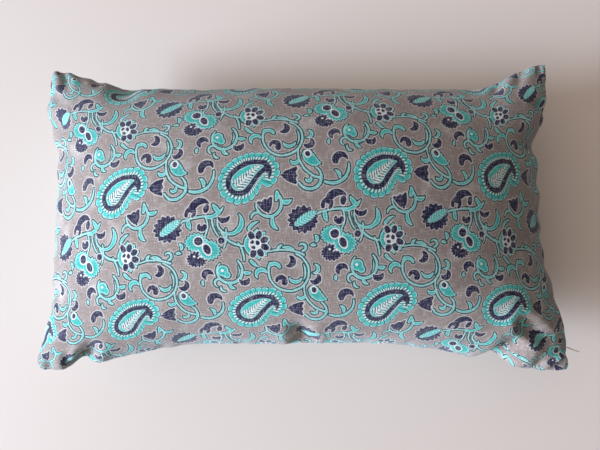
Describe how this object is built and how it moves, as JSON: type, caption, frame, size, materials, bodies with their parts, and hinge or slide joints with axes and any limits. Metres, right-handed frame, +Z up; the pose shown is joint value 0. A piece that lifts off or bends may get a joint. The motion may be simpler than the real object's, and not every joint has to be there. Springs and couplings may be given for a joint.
{
  "type": "cushion",
  "caption": "Filled rectangular scatter cushion with a crowned face, drawn-in sides, uneven turned ears and a paisley and flower print, lying on its back.",
  "frame": {"origin": "on the surface the cushion lies on, below the middle of the object's box", "axes": "+X along the length to the right ears, +Y across the width to the far side of the face, +Z up out of the printed face"},
  "size_m": [0.5118, 0.293, 0.126],
  "materials": {
    "printed_canvas": "matt cotton canvas, hand-block style paisley and flower print in turquoise, navy and dark green on a warm grey ground",
    "sewing_thread": "matt spun sewing thread, pale grey-beige"
  },
  "bodies": {
    "root": {"cushion": "printed_canvas", "thread_end": "sewing_thread"}
  },
  "joints": []
}
